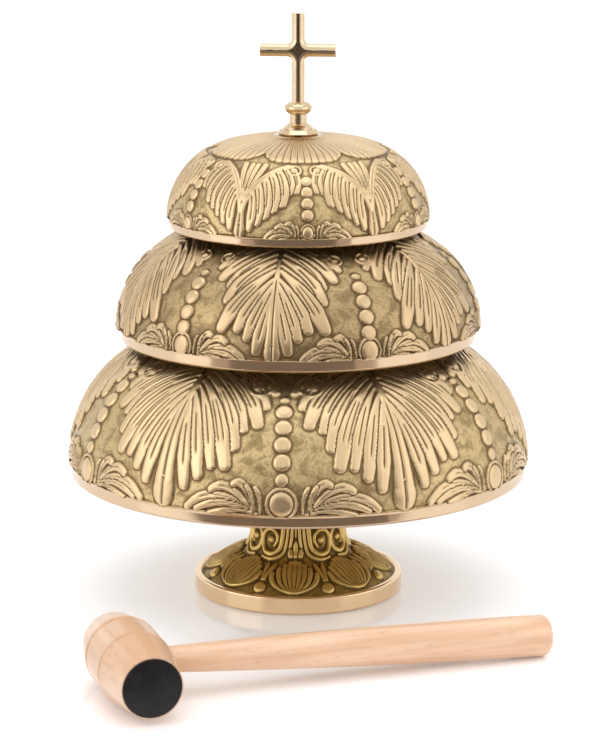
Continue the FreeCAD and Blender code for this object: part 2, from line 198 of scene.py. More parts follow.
def spray(relief, span, foot, tall, height):
    for start, knee, end, width in SPRAY:
        path = [(share * span, foot + rise * tall) for share, rise in (start, knee, end)]
        half = width * tall
        relief.lobe(bend(*path), (0.4 * half, half, 0.8 * half), height, groove=0.42 * height, tilt=0.2,
                    over=True)


def volute(relief, place, radius, height):
    relief.dome(place, 0.55 * radius, 0.55 * radius, height, 2.6)
    relief.ring(place, 0.86 * radius, 0.2 * radius, 0.9 * height)


def crown_flutes(relief, edge, notch, flutes, height, end):
    """Scalloped leaves round the crown: ribs that fan from the middle to a curved lower edge."""
    share = relief.angle / relief.half_angle
    phase = share * flutes * (1.0 + 0.10 * (1.0 - share))
    ribs = pillow(2.0 * (phase % 1.0) - 1.0, 3.0)
    border = edge + (notch - edge) * share ** 5 + 1.2 * (1.0 - ribs)
    rise = fade(relief.v, border, border + 1.2)
    rise = rise * (1.0 - 0.65 * fade(relief.v, end - 22.0, end))
    relief.raise_to(height * rise * (0.3 + 0.7 * ribs))


# ---------------------------------------------------------------- outlines and meshes of turned pieces

def arc(centre, radius, start, stop, steps=60):
    angles = np.linspace(start, stop, steps)
    return np.column_stack([centre[0] + radius * np.cos(angles), centre[1] + radius * np.sin(angles)])


def lengths(outline):
    return np.concatenate([[0.0], np.cumsum(np.hypot(*np.diff(outline, axis=0).T))])


def sample(outline, levels):
    """Radius, height and outward normal at each distance along an outline that climbs the outside."""
    s = lengths(outline)
    r, z = np.interp(levels, s, outline[:, 0]), np.interp(levels, s, outline[:, 1])
    ahead, behind = levels + 0.05, levels - 0.05
    dr = np.interp(ahead, s, outline[:, 0]) - np.interp(behind, s, outline[:, 0])
    dz = np.interp(ahead, s, outline[:, 1]) - np.interp(behind, s, outline[:, 1])
    size = np.hypot(dr, dz) + 1e-9
    return r, z, dz / size, -dr / size


def whole_turn(half, repeats):
    """A half repeat, its mirror image, and so on all round."""
    return np.tile(np.concatenate([half[:, :-1], half[:, :0:-1]], axis=1), (1, repeats))


def blurred(field, rows, columns):
    """Mean over a window, wrapping round the turn and held at the top and bottom rows."""
    padded = np.pad(field, ((rows, rows), (0, 0)), mode="edge")
    total = sum(padded[k:k + len(field)] for k in range(2 * rows + 1)) / (2 * rows + 1)
    return sum(np.roll(total, k, axis=1) for k in range(-columns, columns + 1)) / (2 * columns + 1)


def turned_mesh(name, radius, height, front, values):
    """A closed surface: each row and column has its own radius and height in mm, and both ways close."""
    rows, columns = radius.shape
    angle = math.radians(front) + np.arange(columns) * 2.0 * math.pi / columns
    places = np.stack([radius * np.sin(angle), -radius * np.cos(angle), height], axis=-1) * MM
    index = np.arange(rows * columns).reshape(rows, columns)
    right, above = np.roll(index, -1, axis=1), np.roll(index, -1, axis=0)
    quads = np.stack([index, right, np.roll(above, -1, axis=1), above], axis=-1).reshape(-1, 4)
    mesh = bpy.data.meshes.new(name)
    mesh.vertices.add(rows * columns)
    mesh.vertices.foreach_set("co", places.astype(np.float32).ravel())
    mesh.loops.add(quads.size)
    mesh.loops.foreach_set("vertex_index", quads.astype(np.int32).ravel())
    mesh.polygons.add(len(quads))
    mesh.polygons.foreach_set("loop_start", np.arange(0, quads.size, 4, dtype=np.int32))
    mesh.update()
    mesh.shade_smooth()
    for key, value in values.items():
        layer = mesh.attributes.new(key, "FLOAT", "POINT")
        layer.data.foreach_set("value", value.astype(np.float32).ravel())
    piece = bpy.data.objects.new(name, mesh)
    bpy.context.scene.collection.objects.link(piece)
    return piece


def unevenness(levels, columns, size, seed):
    """Slow waves of a hand-finished casting, in mm, the same on each run."""
    waves = np.random.default_rng(seed)
    turn = np.linspace(0.0, 2.0 * math.pi, columns, endpoint=False)[None, :]
    total = np.zeros((len(levels), columns))
    for _ in range(WAVES):
        around, pitch = waves.integers(3, 46), waves.uniform(7.0, 26.0)
        shift = waves.uniform(0.0, 2.0 * math.pi, 2)
        total += np.sin(around * turn + shift[0]) * np.sin(levels[:, None] * 2.0 * math.pi / pitch + shift[1])
    return size * total / WAVES ** 0.5


def carved(name, outer, levels, plain, depth, relief, repeats, front, inner, floor_z, seed):
    """The outer surface, sunk under the relief except where it is plain, closed by the inner rows."""
    r, z, normal_r, normal_z = sample(outer, levels)
    height = np.clip(whole_turn(relief.height, repeats), 0.0, depth)
    columns = height.shape[1]
    sunk = 1.0 - plain[:, None]
    height = np.clip(height + unevenness(levels, columns, UNEVEN_SHARE * depth, seed) * sunk, 0.0, depth)
    offset = (height - depth) * sunk
    radius = r[:, None] + offset * normal_r[:, None]
    level = z[:, None] + offset * normal_z[:, None]
    around = int(round(CAVITY_REACH * columns / (2.0 * math.pi * r.max())))
    up = int(round(CAVITY_REACH / np.median(np.diff(levels))))
    wide = blurred(height, up, around) - height
    fine = blurred(height, 1, 1) - height
    cavity = np.clip((wide + 1.5 * fine) / depth, -1.0, 1.0) * sunk
    inside = np.ones((len(inner), columns))
    values = {
        "relief": np.concatenate([height / depth * sunk + plain[:, None], 0.0 * inside]),
        "cavity": np.concatenate([cavity, 0.0 * inside]),
        "plain": np.concatenate([plain[:, None] * np.ones((1, columns)), 0.0 * inside]),
        "inside": np.concatenate([0.0 * height, inside]),
    }
    radius = np.concatenate([radius, inner[:, :1] * inside])
    level = np.concatenate([level, inner[:, 1:] * inside]) + floor_z
    return turned_mesh(name, radius, level, front, values)


def rim_and_relief_levels(plain_top, relief_step, fine_top, end):
    """Rows: close on the plain band, even over the relief, wide near the seat."""
    band_end = plain_top + BAND_MARGIN
    band = np.arange(0.0, band_end, BAND_STEP)
    fine = np.arange(band_end, fine_top, relief_step)
    wide = np.linspace(fine_top, end, max(3, int((end - fine_top) / HIDDEN_STEP)))
    return np.concatenate([band, fine, wide])


# ---------------------------------------------------------------- the three bowls

# In mm; front is the angle in degrees of one row of beads from straight ahead. columns are those of half a
# repeat, step is the distance of rows on the relief and fine_top is where those rows end.
BOWLS = {
    "bowl_large": dict(rim=123.6, edge=0.8, band=6.0, height=84.0, shoulder=70.0, wall=3.5, seat=13.0,
                       hole=5.05, depth=1.6, columns=112, step=0.60, fine_top=104.0, front=-4.0),
    "bowl_middle": dict(rim=95.8, edge=0.8, band=6.0, height=66.6, shoulder=51.0, wall=3.0, seat=12.5,
                        hole=5.05, depth=1.5, columns=100, step=0.54, fine_top=88.0, front=22.0),
    "bowl_small": dict(rim=69.0, edge=0.8, band=4.4, height=44.8, shoulder=41.8, wall=2.8, seat=12.0,
                       hole=5.05, depth=1.3, columns=86, step=0.45, fine_top=86.0, front=4.0),
}
REPEATS = 6
HALF_REPEAT = 180.0 / REPEATS


def bowl_outlines(node):
    """Outer and inner outline in mm, each from the rim to the hole."""
    low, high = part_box(node)
    size = BOWLS[node]
    radius = (high.x - low.x) / 2 / MM
    inset, band, wall = radius - size["shoulder"], size["band"], size["wall"]
    rise = size["height"]
    crown = (inset ** 2 + rise ** 2 - size["shoulder"] ** 2) / (2 * (rise - size["shoulder"]))
    crown_z = band + rise - crown
    join = math.atan2(band - crown_z, inset)

    def outline(sunk, foot):
        shoulder_arc = arc((inset, band), size["shoulder"] - sunk, 0.0, join)
        crown_arc = arc((0.0, crown_z), crown - sunk, join, math.acos(size["seat"] / (crown - sunk)))
        top = crown_arc[-1, 1]
        return np.concatenate([foot, shoulder_arc, crown_arc[1:], [(size["hole"], top)]])

    rim = size["rim"]
    foot = [(rim - size["edge"], 0.0), (rim, size["edge"]), (rim, band - 0.2)]
    outer = outline(0.0, np.array(foot))
    inner = outline(wall, np.array([(radius - wall, 0.0)]))
    return outer, inner


def make_bowl(node, draw, seed):
    size = BOWLS[node]
    outer, inner = bowl_outlines(node)
    total = lengths(outer)[-1]
    seat_v = total - (size["seat"] - size["hole"])
    plain_top = size["band"] + 0.4
    levels = rim_and_relief_levels(plain_top, size["step"], size["fine_top"], total)
    levels = np.unique(np.concatenate([levels, [seat_v, seat_v - 0.5]]))
    plain = 1.0 - fade(levels, plain_top - 0.4, plain_top + 0.5) * (1.0 - fade(levels, seat_v - 2.0, seat_v))
    relief = Relief(levels, sample(outer, levels)[0], HALF_REPEAT, size["columns"])
    draw(relief, size["depth"], total)
    inner_levels = np.linspace(lengths(inner)[-1], 0.0, INNER_ROWS)
    inner_r, inner_z, _, _ = sample(inner, inner_levels)
    rows = np.column_stack([inner_r, inner_z])
    piece = carved(node + "_cast", outer, levels, plain, size["depth"], relief, REPEATS, size["front"],
                   rows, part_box(node)[0].z / MM, seed)
    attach(piece, node)
    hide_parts(node)
    return piece


LARGE_LEAF = [
    (3.2, 96.0, 27.0, 73.0, 3.6),
    (3.0, 94.0, 24.4, 63.5, 4.6),
    (2.7, 91.0, 23.0, 52.5, 4.6),
    (2.4, 88.0, 19.4, 50.0, 3.6),
    (2.1, 85.0, 17.4, 39.5, 5.0),
    (1.9, 81.0, 15.8, 29.5, 4.8),
    (1.6, 77.0, 12.2, 29.5, 3.6),
    (1.3, 72.0, 9.0, 23.5, 4.3),
    (1.0, 66.0, 5.6, 17.5, 4.2),
]


def draw_large(relief, depth, total):
    crown_flutes(relief, 100.0, 112.0, 6, 0.8 * depth, total)
    leaf(relief, LARGE_LEAF, 0.95 * depth, (0.88, 0.86), (0.62, 0.68))
    midrib(relief, 82.0, 6.6, 6.6, 0.9 * depth)
    volute(relief, (7.9, 80.0), 7.6, depth)
    relief.lobe(bend((15.0, 90.0), (14.0, 76.0), (6.0, 71.5)), (1.0, 1.6, 1.2), 0.8 * depth)
    beads(relief, (64.0, 54.7, 45.2, 35.9), 4.5, depth)
    relief.dome((0.0, 26.8), 3.3, 3.4, 0.85 * depth, 4.0)
    relief.dome((0.0, 71.6), 2.6, 2.4, 0.8 * depth)
    spray(relief, 23.6, 8.6, 17.6, 0.9 * depth)
    cabochon(relief, 14.4, 6.3, 6.7, depth)


MIDDLE_LEAF = [
    (2.2, 82.0, 24.0, 58.0, 3.0),
    (2.0, 78.0, 21.0, 50.5, 4.0),
    (1.8, 73.0, 16.8, 46.5, 3.3),
    (1.6, 69.0, 16.0, 37.0, 4.2),
    (1.4, 64.0, 13.8, 32.5, 3.2),
    (1.3, 60.0, 16.2, 21.5, 4.7),
    (1.2, 54.0, 11.0, 22.0, 4.0),
    (1.1, 50.0, 7.8, 18.0, 3.6),
    (0.9, 44.0, 4.8, 11.0, 3.7),
]


def draw_middle(relief, depth, total):
    crown_flutes(relief, 84.0, 94.0, 6, 0.8 * depth, total)
    leaf(relief, MIDDLE_LEAF, 0.95 * depth, (0.80, 0.82), (0.56, 0.58))
    midrib(relief, 68.0, 6.4, 4.4, 0.95 * depth)
    volute(relief, (6.6, 67.0), 4.3, depth)
    relief.lobe(bend((12.5, 72.0), (12.0, 64.0), (5.4, 60.0)), (0.9, 1.3, 0.9), 0.8 * depth)
    beads(relief, (48.0, 39.5, 31.0, 22.6), 4.1, depth)
    relief.dome((0.0, 55.4), 2.8, 2.2, 0.8 * depth)
    spray(relief, 21.5, 7.8, 14.4, 0.9 * depth)
    cabochon(relief, 13.0, 4.9, 5.9, depth)


SMALL_LEAF = [
    (21.5, 48.0, 25.2, 29.5, 2.3),
    (18.0, 46.5, 21.8, 28.5, 2.7),
    (14.8, 44.6, 18.8, 21.5, 3.3),
    (11.8, 42.0, 14.9, 18.5, 3.1),
    (9.0, 38.6, 11.4, 15.0, 3.0),
    (6.2, 34.6, 8.0, 11.5, 2.9),
    (3.6, 30.6, 4.6, 8.5, 2.7),
]


def draw_small(relief, depth, total):
    crown_flutes(relief, 51.0, 60.5, 6, 0.85 * depth, total)
    for root_angle, root_v, tip_angle, tip_v, width in SMALL_LEAF:
        knee = (tip_angle + 1.4, root_v - 0.35 * (root_v - tip_v))
        path = relief.from_edge((root_angle, root_v), knee, (tip_angle, tip_v + width))
        relief.lobe(bend(*path), (0.7 * width, width, 0.7 * width), 0.9 * depth, groove=0.42 * depth,
                    groove_span=(0.05, 0.86), tilt=0.22, over=True)
    upper = relief.from_edge((0.4, 20.0), (3.0, 41.0), (20.0, 48.4))
    relief.lobe(bend(*upper), (1.5, 1.9, 1.4), depth, groove=0.35 * depth)
    for tip_angle, width in ((1.8, 1.5), (6.4, 1.7)):
        blade = relief.from_edge((0.3, 28.0), (0.7 * tip_angle, 39.0), (tip_angle, 49.0))
        relief.lobe(bend(*blade), (0.4, width, width), 0.85 * depth, groove=0.3 * depth)
    midrib(relief, 30.0, 4.8, 3.3, 0.95 * depth)
    volute(relief, (6.3, 45.2), 3.9, depth)
    beads(relief, (38.2, 31.6, 25.2, 18.8), 3.1, depth)
    spray(relief, 18.6, 5.6, 9.6, 0.9 * depth)
    cabochon(relief, 9.6, 2.9, 3.5, depth)


# ---------------------------------------------------------------- the foot

FOOT = dict(edge=0.8, ring_top=9.5, ledge=52.0, web=70.0, depth=1.7, front=-3.0, repeats=4, columns=92)
# (radius, height) in mm, and the radii of the two arcs of the slope.
SLOPE_KNEE, KNEE_RADIUS = (35.5, 20.0), 45.0
SLOPE_WAIST, WAIST_RADIUS = (26.5, 31.0), -12.0
NECK, CREST_RADIUS, ROD_HOLE = (21.5, 66.0), 15.0, 3.25
HOLLOW = [(ROD_HOLE, 27.0), (17.0, 27.0), (31.0, 15.5), (43.0, 9.5), (48.0, 3.1), (48.0, 0.6), (51.5, 0.6),
          (51.5, 0.0)]


def bowed(start, end, radius):
    """An arc from start to end of that radius; a positive one bulges to the outside of the climb."""
    start, end = np.array(start, float), np.array(end, float)
    chord = end - start
    half = np.hypot(*chord) / 2
    across = np.array([chord[1], -chord[0]]) / (2 * half)
    centre = (start + end) / 2 - across * math.copysign(math.sqrt(radius ** 2 - half ** 2), radius)
    first, last = (math.atan2(*(p - centre)[::-1]) for p in (start, end))
    return arc(centre, abs(radius), first, last, 40)


LEDGE_V = 10.0          # the foot's places count v from 10 mm below its ledge
SHELL_SPREAD = 3.5      # mm between the ends of two ribs
SHELL_TALL = 26.0       # mm, the middle rib
SHELL_ROUND = 0.62      # how fast the ribs get shorter to the sides


def shell(relief, angle):
    """Palmette: nine ribs that rise from one point on the ledge, spread, and end on a round outline."""
    root_v, root_radius = 10.4, 46.0
    for rib in range(-4, 5):
        end_across, end_up = SHELL_SPREAD * rib, SHELL_TALL - SHELL_ROUND * rib * rib
        steps = ((0.3 * rib, 1.0), (0.95 * end_across, 0.34 * end_up), (end_across, end_up - 1.8))
        path = [(angle + math.degrees(across / root_radius), root_v + up) for across, up in steps]
        relief.lobe(bend(*path), (0.4, 1.6, 1.5), FOOT["depth"], groove=0.5, flat=2.2)


# A scroll of the foot: (across, up) in mm from its eye. The band comes down the stem, passes under the eye
# and winds in over it; the flutes run down the stem on both sides of the band.
SCROLL_BAND = [(-8.6, 26.0), (-7.4, 12.0), (-6.8, 3.0), (-5.6, -3.6), (-1.6, -6.8), (2.8, -6.2), (5.4, -2.6),
               (5.6, 1.6), (3.4, 4.9), (-0.4, 5.6), (-3.4, 3.4), (-3.8, -0.2), (-2.2, -3.0)]
SCROLL_FLUTES = [
    [(-13.2, 26.0), (-12.4, 10.0), (-11.8, 0.0), (-10.2, -6.6)],
    [(-11.0, 26.0), (-10.0, 10.0), (-9.3, 0.0), (-7.4, -6.4), (-2.2, -9.6), (3.2, -9.0)],
    [(-6.2, 26.0), (-5.2, 14.0), (-4.3, 7.4)],
    [(-3.8, 26.0), (-3.0, 14.0), (-2.0, 8.4)],
    [(-1.4, 26.0), (-0.7, 14.0), (0.3, 8.6)],
    [(1.0, 26.0), (1.8, 14.0), (2.8, 8.2)],
    [(3.4, 26.0), (4.1, 12.0), (5.2, 7.0)],
]
STEM_RADIUS = 26.0


def smooth(points, steps=6):
    """Catmull-Rom curve through the points, its ends straight."""
    points = np.array(points)
    ends = np.concatenate([[2 * points[0] - points[1]], points, [2 * points[-1] - points[-2]]])
    t = np.linspace(0.0, 1.0, steps, endpoint=False)[:, None]
    spans = []
    for a, b, c, d in zip(ends, ends[1:], ends[2:], ends[3:]):
        square, cube = 2 * a - 5 * b + 4 * c - d, 3 * b - a - 3 * c + d
        spans.append(0.5 * (2 * b + (c - a) * t + square * t ** 2 + cube * t ** 3))
    return np.concatenate(spans + [points[-1:]])


def scroll(relief, place, height):
    def seated(points):
        return [(place[0] + math.degrees(across / STEM_RADIUS), place[1] + up)
                for across, up in smooth(points)]

    for flute in SCROLL_FLUTES:
        relief.lobe(seated(flute), (0.95, 1.05, 0.7), 0.85 * height, flat=2.2)
    relief.lobe(seated(SCROLL_BAND), (1.5, 1.2, 0.9), height, flat=2.4, over=True)
    relief.dome(place, 2.1, 2.1, height, 2.6)


def draw_foot(relief, depth):
    for angle in (0.0, 45.0):
        shell(relief, angle)
    between = 22.5
    relief.dome((between, 14.4), 3.6, 3.6, depth, 3.0)
    for side in (-1, 1):
        stalk = bend((between + side, 20.0), (between + 1.5 * side, 27.0), (between + 4 * side, 33.0))
        relief.lobe(stalk, (0.8, 1.5, 0.6), 0.8 * depth)
    scroll(relief, (31.5, 45.5), depth)
    for lean in (0.0, 9.0):
        bud = bend((0.6 * lean, 38.5), (0.8 * lean, 41.5), (0.8 * lean, 45.5 - 0.5 * lean))
        relief.lobe(bud, (1.6, 1.4, 0.5), 0.85 * depth, over=True)
    relief.lobe(bend((0.0, 48.0), (0.0, 56.0), (0.0, 72.0)), (0.5, 1.2, 1.2), 0.7 * depth)


def make_foot():
    """The trumpet foot: plain polished ring, carved slope, and the plain hollow inside."""
    low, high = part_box("pedestal_foot")
    ring, ledge, top = (high.x - low.x) / 2 / MM, FOOT["ledge"], FOOT["ring_top"]
    edge = FOOT["edge"]
    outer = np.concatenate([
        [(ring - edge, 0.0), (ring, edge), (ring, top - edge), (ring - edge, top)],
        bowed((ledge, top), SLOPE_KNEE, KNEE_RADIUS),
        bowed(SLOPE_KNEE, SLOPE_WAIST, WAIST_RADIUS)[1:],
        [NECK, (CREST_RADIUS, FOOT["web"]), (ROD_HOLE, FOOT["web"])],
    ])
    total = lengths(outer)[-1]
    ledge_v = lengths(outer)[4]
    ring_levels = np.concatenate([np.arange(0.0, 2.2, 0.3), np.arange(2.2, top - 1.0, 1.2),
                                  np.arange(top - 1.0, ledge_v, 0.35)])
    levels = np.concatenate([ring_levels, np.arange(ledge_v, ledge_v + 50.0, 0.5),
                             np.linspace(ledge_v + 50.0, total, 26)])
    carved_up = fade(levels, ledge_v - 1.4, ledge_v - 0.2)
    plain = 1.0 - carved_up * (1.0 - fade(levels, total - 20.0, total - 16.0))
    relief = Relief(levels - ledge_v + LEDGE_V, sample(outer, levels)[0], 180.0 / FOOT["repeats"],
                    FOOT["columns"])
    draw_foot(relief, FOOT["depth"])
    piece = carved("pedestal_foot_cast", outer, levels, plain, FOOT["depth"], relief, FOOT["repeats"],
                   FOOT["front"], np.array(HOLLOW), low.z / MM, 41)
    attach(piece, "stand")
    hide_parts("pedestal_foot")
    return piece


# ---------------------------------------------------------------- materials

class Shader:
    """A node material with one principled shader, built a node at a time."""

    def __init__(self, name, **sockets):
        self.material = bpy.data.materials.new(name)
        self.material.use_nodes = True
        self.nodes, self.links = self.material.node_tree.nodes, self.material.node_tree.links
        self.surface = self.nodes["Principled BSDF"]
        for socket, value in sockets.items():
            self.surface.inputs[socket.replace("_", " ")].default_value = value

    def link(self, source, target):
        self.links.new(source, target)

    def place(self, stretch=(1, 1, 1), rotation=(0, 0, 0)):
        """Object coordinates in metres, turned to the piece's own directions and stretched along them."""
        where = self.nodes.new("ShaderNodeTexCoord")
        mapping = self.nodes.new("ShaderNodeMapping")
        mapping.vector_type = "TEXTURE"
        mapping.inputs["Scale"].default_value = stretch
        mapping.inputs["Rotation"].default_value = rotation
        self.link(where.outputs["Object"], mapping.inputs["Vector"])
        return mapping.outputs["Vector"]

    def noise(self, scale, detail=3.0, rough=0.55, vector=None, warp=0.0):
        node = self.nodes.new("ShaderNodeTexNoise")
        node.inputs["Scale"].default_value = scale
        node.inputs["Detail"].default_value = detail
        node.inputs["Roughness"].default_value = rough
        node.inputs["Distortion"].default_value = warp
        self.link(vector or self.place(), node.inputs["Vector"])
        return node.outputs["Fac"]

    def read(self, name):
        node = self.nodes.new("ShaderNodeAttribute")
        node.attribute_name = name
        return node.outputs["Fac"]

    def ramp(self, value, low, high, out_low=0.0, out_high=1.0):
        node = self.nodes.new("ShaderNodeMapRange")
        node.interpolation_type = "SMOOTHSTEP"
        limits = {"From Min": low, "From Max": high, "To Min": out_low, "To Max": out_high}
        for socket, number in limits.items():
            node.inputs[socket].default_value = number
        self.link(value, node.inputs["Value"])
        return node.outputs["Result"]

    def math(self, operation, first, second):
        node = self.nodes.new("ShaderNodeMath")
        node.operation = operation
        for socket, value in zip(node.inputs, (first, second)):
            if isinstance(value, (int, float)):
                socket.default_value = value
            else:
                self.link(value, socket)
        return node.outputs["Value"]

    def mix(self, share, first, second):
        """Colours, or colour outputs, blended by a share."""
        node = self.nodes.new("ShaderNodeMix")
        node.data_type = "RGBA"
        self.link(share, node.inputs["Factor"])
        for socket, value in (("A", first), ("B", second)):
            target = [i for i in node.inputs if i.name == socket and i.type == "RGBA"][0]
            if isinstance(value, tuple):
                target.default_value = (*value, 1.0)
            else:
                self.link(value, target)
        return [o for o in node.outputs if o.type == "RGBA"][0]

    def bump(self, value, distance):
        node = self.nodes.new("ShaderNodeBump")
        node.inputs["Distance"].default_value = distance
        node.inputs["Strength"].default_value = 1.0
        self.link(value, node.inputs["Height"])
        self.link(node.outputs["Normal"], self.surface.inputs["Normal"])

    def colour(self, output):
        self.link(output, self.surface.inputs["Base Color"])

    def roughness(self, output):
        self.link(output, self.surface.inputs["Roughness"])


def cast_brass(name, high, ground, dark, stain, band, metallic=1.0, dull=0.0):
    """Cast relief: worn bright on top, patinated and pitted on the ground, brown in the grooves."""
    s = Shader(name, Metallic=metallic)
    relief, cavity, plain, inside = (s.read(key) for key in ("relief", "cavity", "plain", "inside"))
    mottle = s.noise(110.0, 6.0, 0.68, warp=0.7)
    speck = s.noise(850.0, 4.0, 0.65)
    raised = s.ramp(relief, 0.25, 0.72)
    ground_colour = s.mix(s.ramp(mottle, 0.44, 0.62), ground, stain)
    ground_colour = s.mix(s.math("MULTIPLY", s.ramp(speck, 0.50, 0.66), 0.55), ground_colour, dark)
    base = s.mix(raised, ground_colour, high)
    groove = s.math("MULTIPLY", s.ramp(cavity, 0.03, 0.30), 0.92)
    base = s.mix(groove, base, dark)
    worn = s.math("MULTIPLY", s.ramp(s.noise(30.0, 3.0), 0.5, 0.75), 0.25)
    base = s.mix(worn, base, ground)
    base = s.mix(plain, base, band)
    s.colour(s.mix(inside, base, (0.58, 0.43, 0.22)))
    skin = s.ramp(relief, 0.2, 0.8, 0.38 + dull, 0.33 + dull)
    rough = s.math("ADD", skin, s.math("MULTIPLY", groove, 0.15))
    rough = s.math("ADD", rough, s.ramp(mottle, 0.3, 0.7, -0.04, 0.05))
    polished = s.ramp(s.noise(60.0, 4.0), 0.3, 0.7, 0.07, 0.15)
    blend_in = s.math("ADD", s.math("MULTIPLY", rough, s.math("SUBTRACT", 1.0, plain)),
                      s.math("MULTIPLY", polished, plain))
    s.roughness(blend_in)
    pits = s.math("MULTIPLY", s.math("ADD", speck, s.noise(330.0, 3.0)), s.ramp(relief, 0.3, 0.9, 1.0, 0.18))
    s.bump(s.math("MULTIPLY", pits, s.math("SUBTRACT", 1.0, plain)), 0.00022)
    return s.material


def polished_brass():
    """Buffed brass: mirror bright with hairline scratches and finger smears."""
    s = Shader("polished_brass", Metallic=1.0)
    smear = s.noise(70.0, 4.0, 0.6, warp=0.4)
    s.colour(s.mix(s.ramp(smear, 0.35, 0.7), (0.67, 0.535, 0.365), (0.60, 0.465, 0.295)))
    s.roughness(s.ramp(smear, 0.3, 0.75, 0.05, 0.14))
    s.bump(s.noise(500.0, 2.0, vector=s.place((1, 1, 0.2))), 0.00003)
    return s.material


def turned_brass():
    """Plain turned tubes: fine tool rings and a dull skin."""
    s = Shader("turned_brass", Metallic=1.0)
    rings = s.noise(60.0, 2.0, vector=s.place((10, 10, 0.03)))
    s.colour(s.mix(s.ramp(s.noise(120.0, 4.0), 0.35, 0.7), (0.72, 0.54, 0.27), (0.55, 0.39, 0.18)))
    s.roughness(s.ramp(rings, 0.3, 0.7, 0.22, 0.36))
    s.bump(rings, 0.00008)
    return s.material


def steel():
    s = Shader("steel", Metallic=1.0)
    grain = s.noise(300.0, 3.0, vector=s.place((1, 1, 0.2)))
    s.colour(s.mix(s.ramp(grain, 0.3, 0.7), (0.60, 0.60, 0.58), (0.46, 0.45, 0.43)))
    s.roughness(s.ramp(grain, 0.3, 0.7, 0.28, 0.42))
    s.bump(grain, 0.00006)
    return s.material


def felt():
    s = Shader("felt", Roughness=0.95, Sheen_Weight=0.4)
    fibre = s.noise(1400.0, 4.0, 0.7, warp=1.2)
    s.colour(s.mix(s.ramp(fibre, 0.3, 0.7), (0.02, 0.05, 0.035), (0.05, 0.10, 0.07)))
    s.bump(fibre, 0.0004)
    return s.material


def rubber():
    s = Shader("rubber", Specular_IOR_Level=0.35)
    bloom = s.noise(160.0, 5.0, 0.65)
    s.colour(s.mix(s.ramp(bloom, 0.35, 0.75), (0.004, 0.003, 0.004), (0.009, 0.007, 0.009)))
    s.roughness(s.ramp(bloom, 0.3, 0.7, 0.30, 0.45))
    s.bump(s.noise(1100.0, 3.0), 0.00012)
    return s.material


BEECH_COLOURS = [(0.78, 0.53, 0.36), (0.66, 0.40, 0.245), (0.68, 0.375, 0.20), (0.46, 0.22, 0.10)]


def beech(name, turn, tone):
    """Beech with its grain along the piece, short dark ray flecks and a thin satin finish."""
    pale, warm, deep, fleck = (tuple(tone * part for part in colour) for colour in BEECH_COLOURS)
    s = Shader(name, Specular_IOR_Level=0.45, Coat_Weight=0.3, Coat_Roughness=0.16)
    along = s.place((14.0, 1.0, 1.0), (0.0, 0.0, turn))
    grain = s.noise(150.0, 4.0, 0.6, vector=along, warp=0.3)
    broad = s.noise(34.0, 2.0, 0.5, vector=s.place((7.0, 1.0, 1.0), (0.0, 0.0, turn)))
    flecks = s.noise(520.0, 2.0, vector=s.place((5.0, 1.0, 1.0), (0.0, 0.0, turn)))
    base = s.mix(s.ramp(grain, 0.34, 0.68), pale, warm)
    base = s.mix(s.ramp(broad, 0.42, 0.62, 0.0, 0.7), base, deep)
    s.colour(s.mix(s.math("MULTIPLY", s.ramp(flecks, 0.60, 0.74), 0.35), base, fleck))
    s.roughness(s.ramp(grain, 0.3, 0.7, 0.30, 0.42))
    s.bump(grain, 0.00005)
    return s.material


def dress(piece, material):
    piece.data.materials.clear()
    piece.data.materials.append(material)


# ---------------------------------------------------------------- build

bowl_brass = cast_brass("cast_brass", high=(0.645, 0.475, 0.28), ground=(0.56, 0.42, 0.215),
                        dark=(0.17, 0.105, 0.05), stain=(0.31, 0.22, 0.105), band=(0.58, 0.43, 0.285))
# A darker copy of the bowl brass for the middle bowl: painted shade, as that bowl sits in the shade of the
# small one.
shaded_bowl_brass = cast_brass("cast_brass_painted_shade", high=(0.56, 0.405, 0.235), ground=(0.42, 0.305, 0.155),
                        dark=(0.14, 0.085, 0.04), stain=(0.24, 0.17, 0.085), band=(0.58, 0.43, 0.285))
foot_brass = cast_brass("cast_brass_foot", high=(0.64, 0.44, 0.15), ground=(0.37, 0.25, 0.07),
                        dark=(0.12, 0.07, 0.018), stain=(0.28, 0.18, 0.05), band=(0.82, 0.60, 0.37),
                        metallic=0.85, dull=0.04)
castings = [
    (make_bowl("bowl_large", draw_large, 11), bowl_brass),
    (make_bowl("bowl_middle", draw_middle, 12), shaded_bowl_brass),
    (make_bowl("bowl_small", draw_small, 13), bowl_brass),
    (make_foot(), foot_brass),
]
for casting, brass in castings:
    dress(casting, brass)

MALLET_TURN = math.radians(18.0)
SLOT_MATERIALS = {
    "cast_brass": bowl_brass,
    "polished_brass": polished_brass(),
    "turned_brass": turned_brass(),
    "steel": steel(),
    "felt": felt(),
    "rubber": rubber(),
    "beech": beech("beech_handle", MALLET_TURN, 0.98),
}
SLOTS = {part["node"]: part["material_slot"] for part in frame["record"]["subparts"]}
for node, cad_piece in frame["nodes"].items():
    dress(cad_piece, SLOT_MATERIALS[SLOTS[node]])
# The head gets a darker copy of the handle's beech (tone 0.84 against 0.98): painted shade, because the head
# faces the lamps.
dress(frame["nodes"]["mallet_head"], beech("beech_head_painted_shade", MALLET_TURN + math.radians(90.0), 0.84))


# ---------------------------------------------------------------- floor, light and camera

def stage_sheet(name, corners):
    mesh = bpy.data.meshes.new(name)
    mesh.from_pydata(corners, [], [tuple(range(len(corners)))])
    sheet = bpy.data.objects.new(name, mesh)
    bpy.context.scene.collection.objects.link(sheet)
    return sheet


def area_light(name, place, target, width, height, power, colour=(1.0, 1.0, 1.0)):
    data = bpy.data.lights.new(name, "AREA")
    data.shape, data.size, data.size_y = "RECTANGLE", width, height
    data.energy, data.color = power, colour
    lamp = bpy.data.objects.new(name, data)
    lamp.location = place
    lamp.rotation_euler = (Vector(target) - Vector(place)).to_track_quat("-Z", "Y").to_euler()
    bpy.context.scene.collection.objects.link(lamp)
    return lamp


